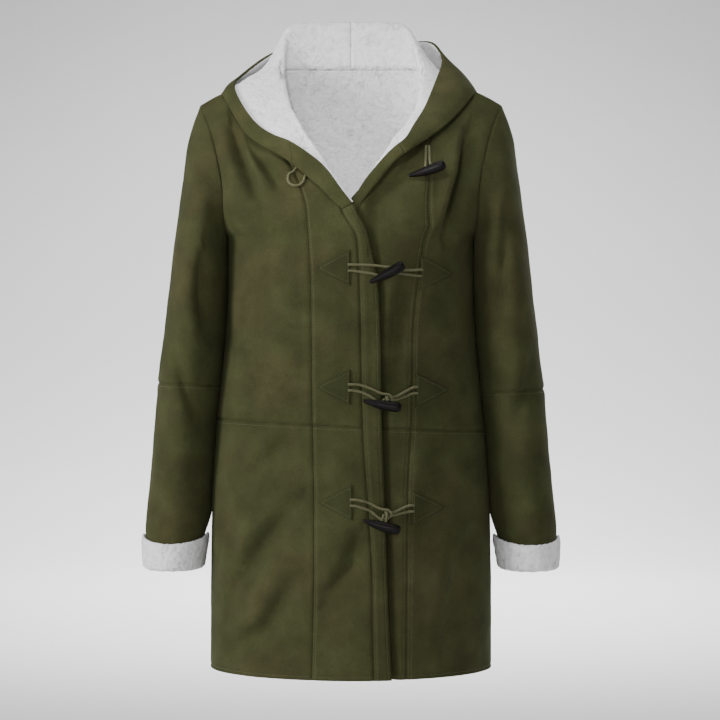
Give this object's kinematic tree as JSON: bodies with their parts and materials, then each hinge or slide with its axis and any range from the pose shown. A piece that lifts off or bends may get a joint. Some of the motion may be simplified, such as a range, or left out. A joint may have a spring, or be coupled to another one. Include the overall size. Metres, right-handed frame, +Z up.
{
  "type": "hooded duffle jacket",
  "caption": "Hooded duffle jacket in faux suede lined with sherpa fleece, hood down, closed by toggles and cord loops, shown as worn.",
  "frame": {"origin": "midway between the shoulders, where a wearer, form or hanger holds the jacket, a centimetre above the neck points", "axes": "+X towards the wearer's left, -Y the front, +Z up"},
  "size_m": [0.5402, 0.3164, 0.8408],
  "materials": {
    "suede": "olive brushed faux suede bonded to white sherpa fleece on the inside",
    "fleece": "white sherpa fleece, short curled pile",
    "cord": "olive round cord",
    "toggle": "dark brown polished horn-look resin"
  },
  "bodies": {
    "root": {"right_front_centre_upper": "suede", "right_front_side_upper": "suede", "right_front_centre_lower": "suede", "right_front_side_lower": "suede", "right_placket": "suede", "left_front_centre_upper": "suede", "left_front_centre_lower": "suede", "left_front_side_upper": "suede", "left_front_side_lower": "suede", "back_upper": "suede", "back_lower": "suede", "right_sleeve_upper": "suede", "right_sleeve_lower": "suede", "left_sleeve_upper": "suede", "left_sleeve_lower": "suede", "right_cuff": "fleece", "left_cuff": "fleece", "right_hood": "suede", "left_hood": "suede", "right_neck_band": "suede", "left_neck_band": "suede", "right_patch_1": "suede", "right_patch_2": "suede", "right_patch_3": "suede", "left_patch_1": "suede", "left_patch_2": "suede", "left_patch_3": "suede", "right_cord_1": "cord", "right_cord_2": "cord", "right_cord_3": "cord", "left_cord_1": "cord", "left_cord_2": "cord", "left_cord_3": "cord", "toggle_1": "toggle", "toggle_2": "toggle", "toggle_3": "toggle", "neck_loop": "cord", "neck_cord": "cord", "neck_toggle": "toggle"}
  },
  "joints": []
}
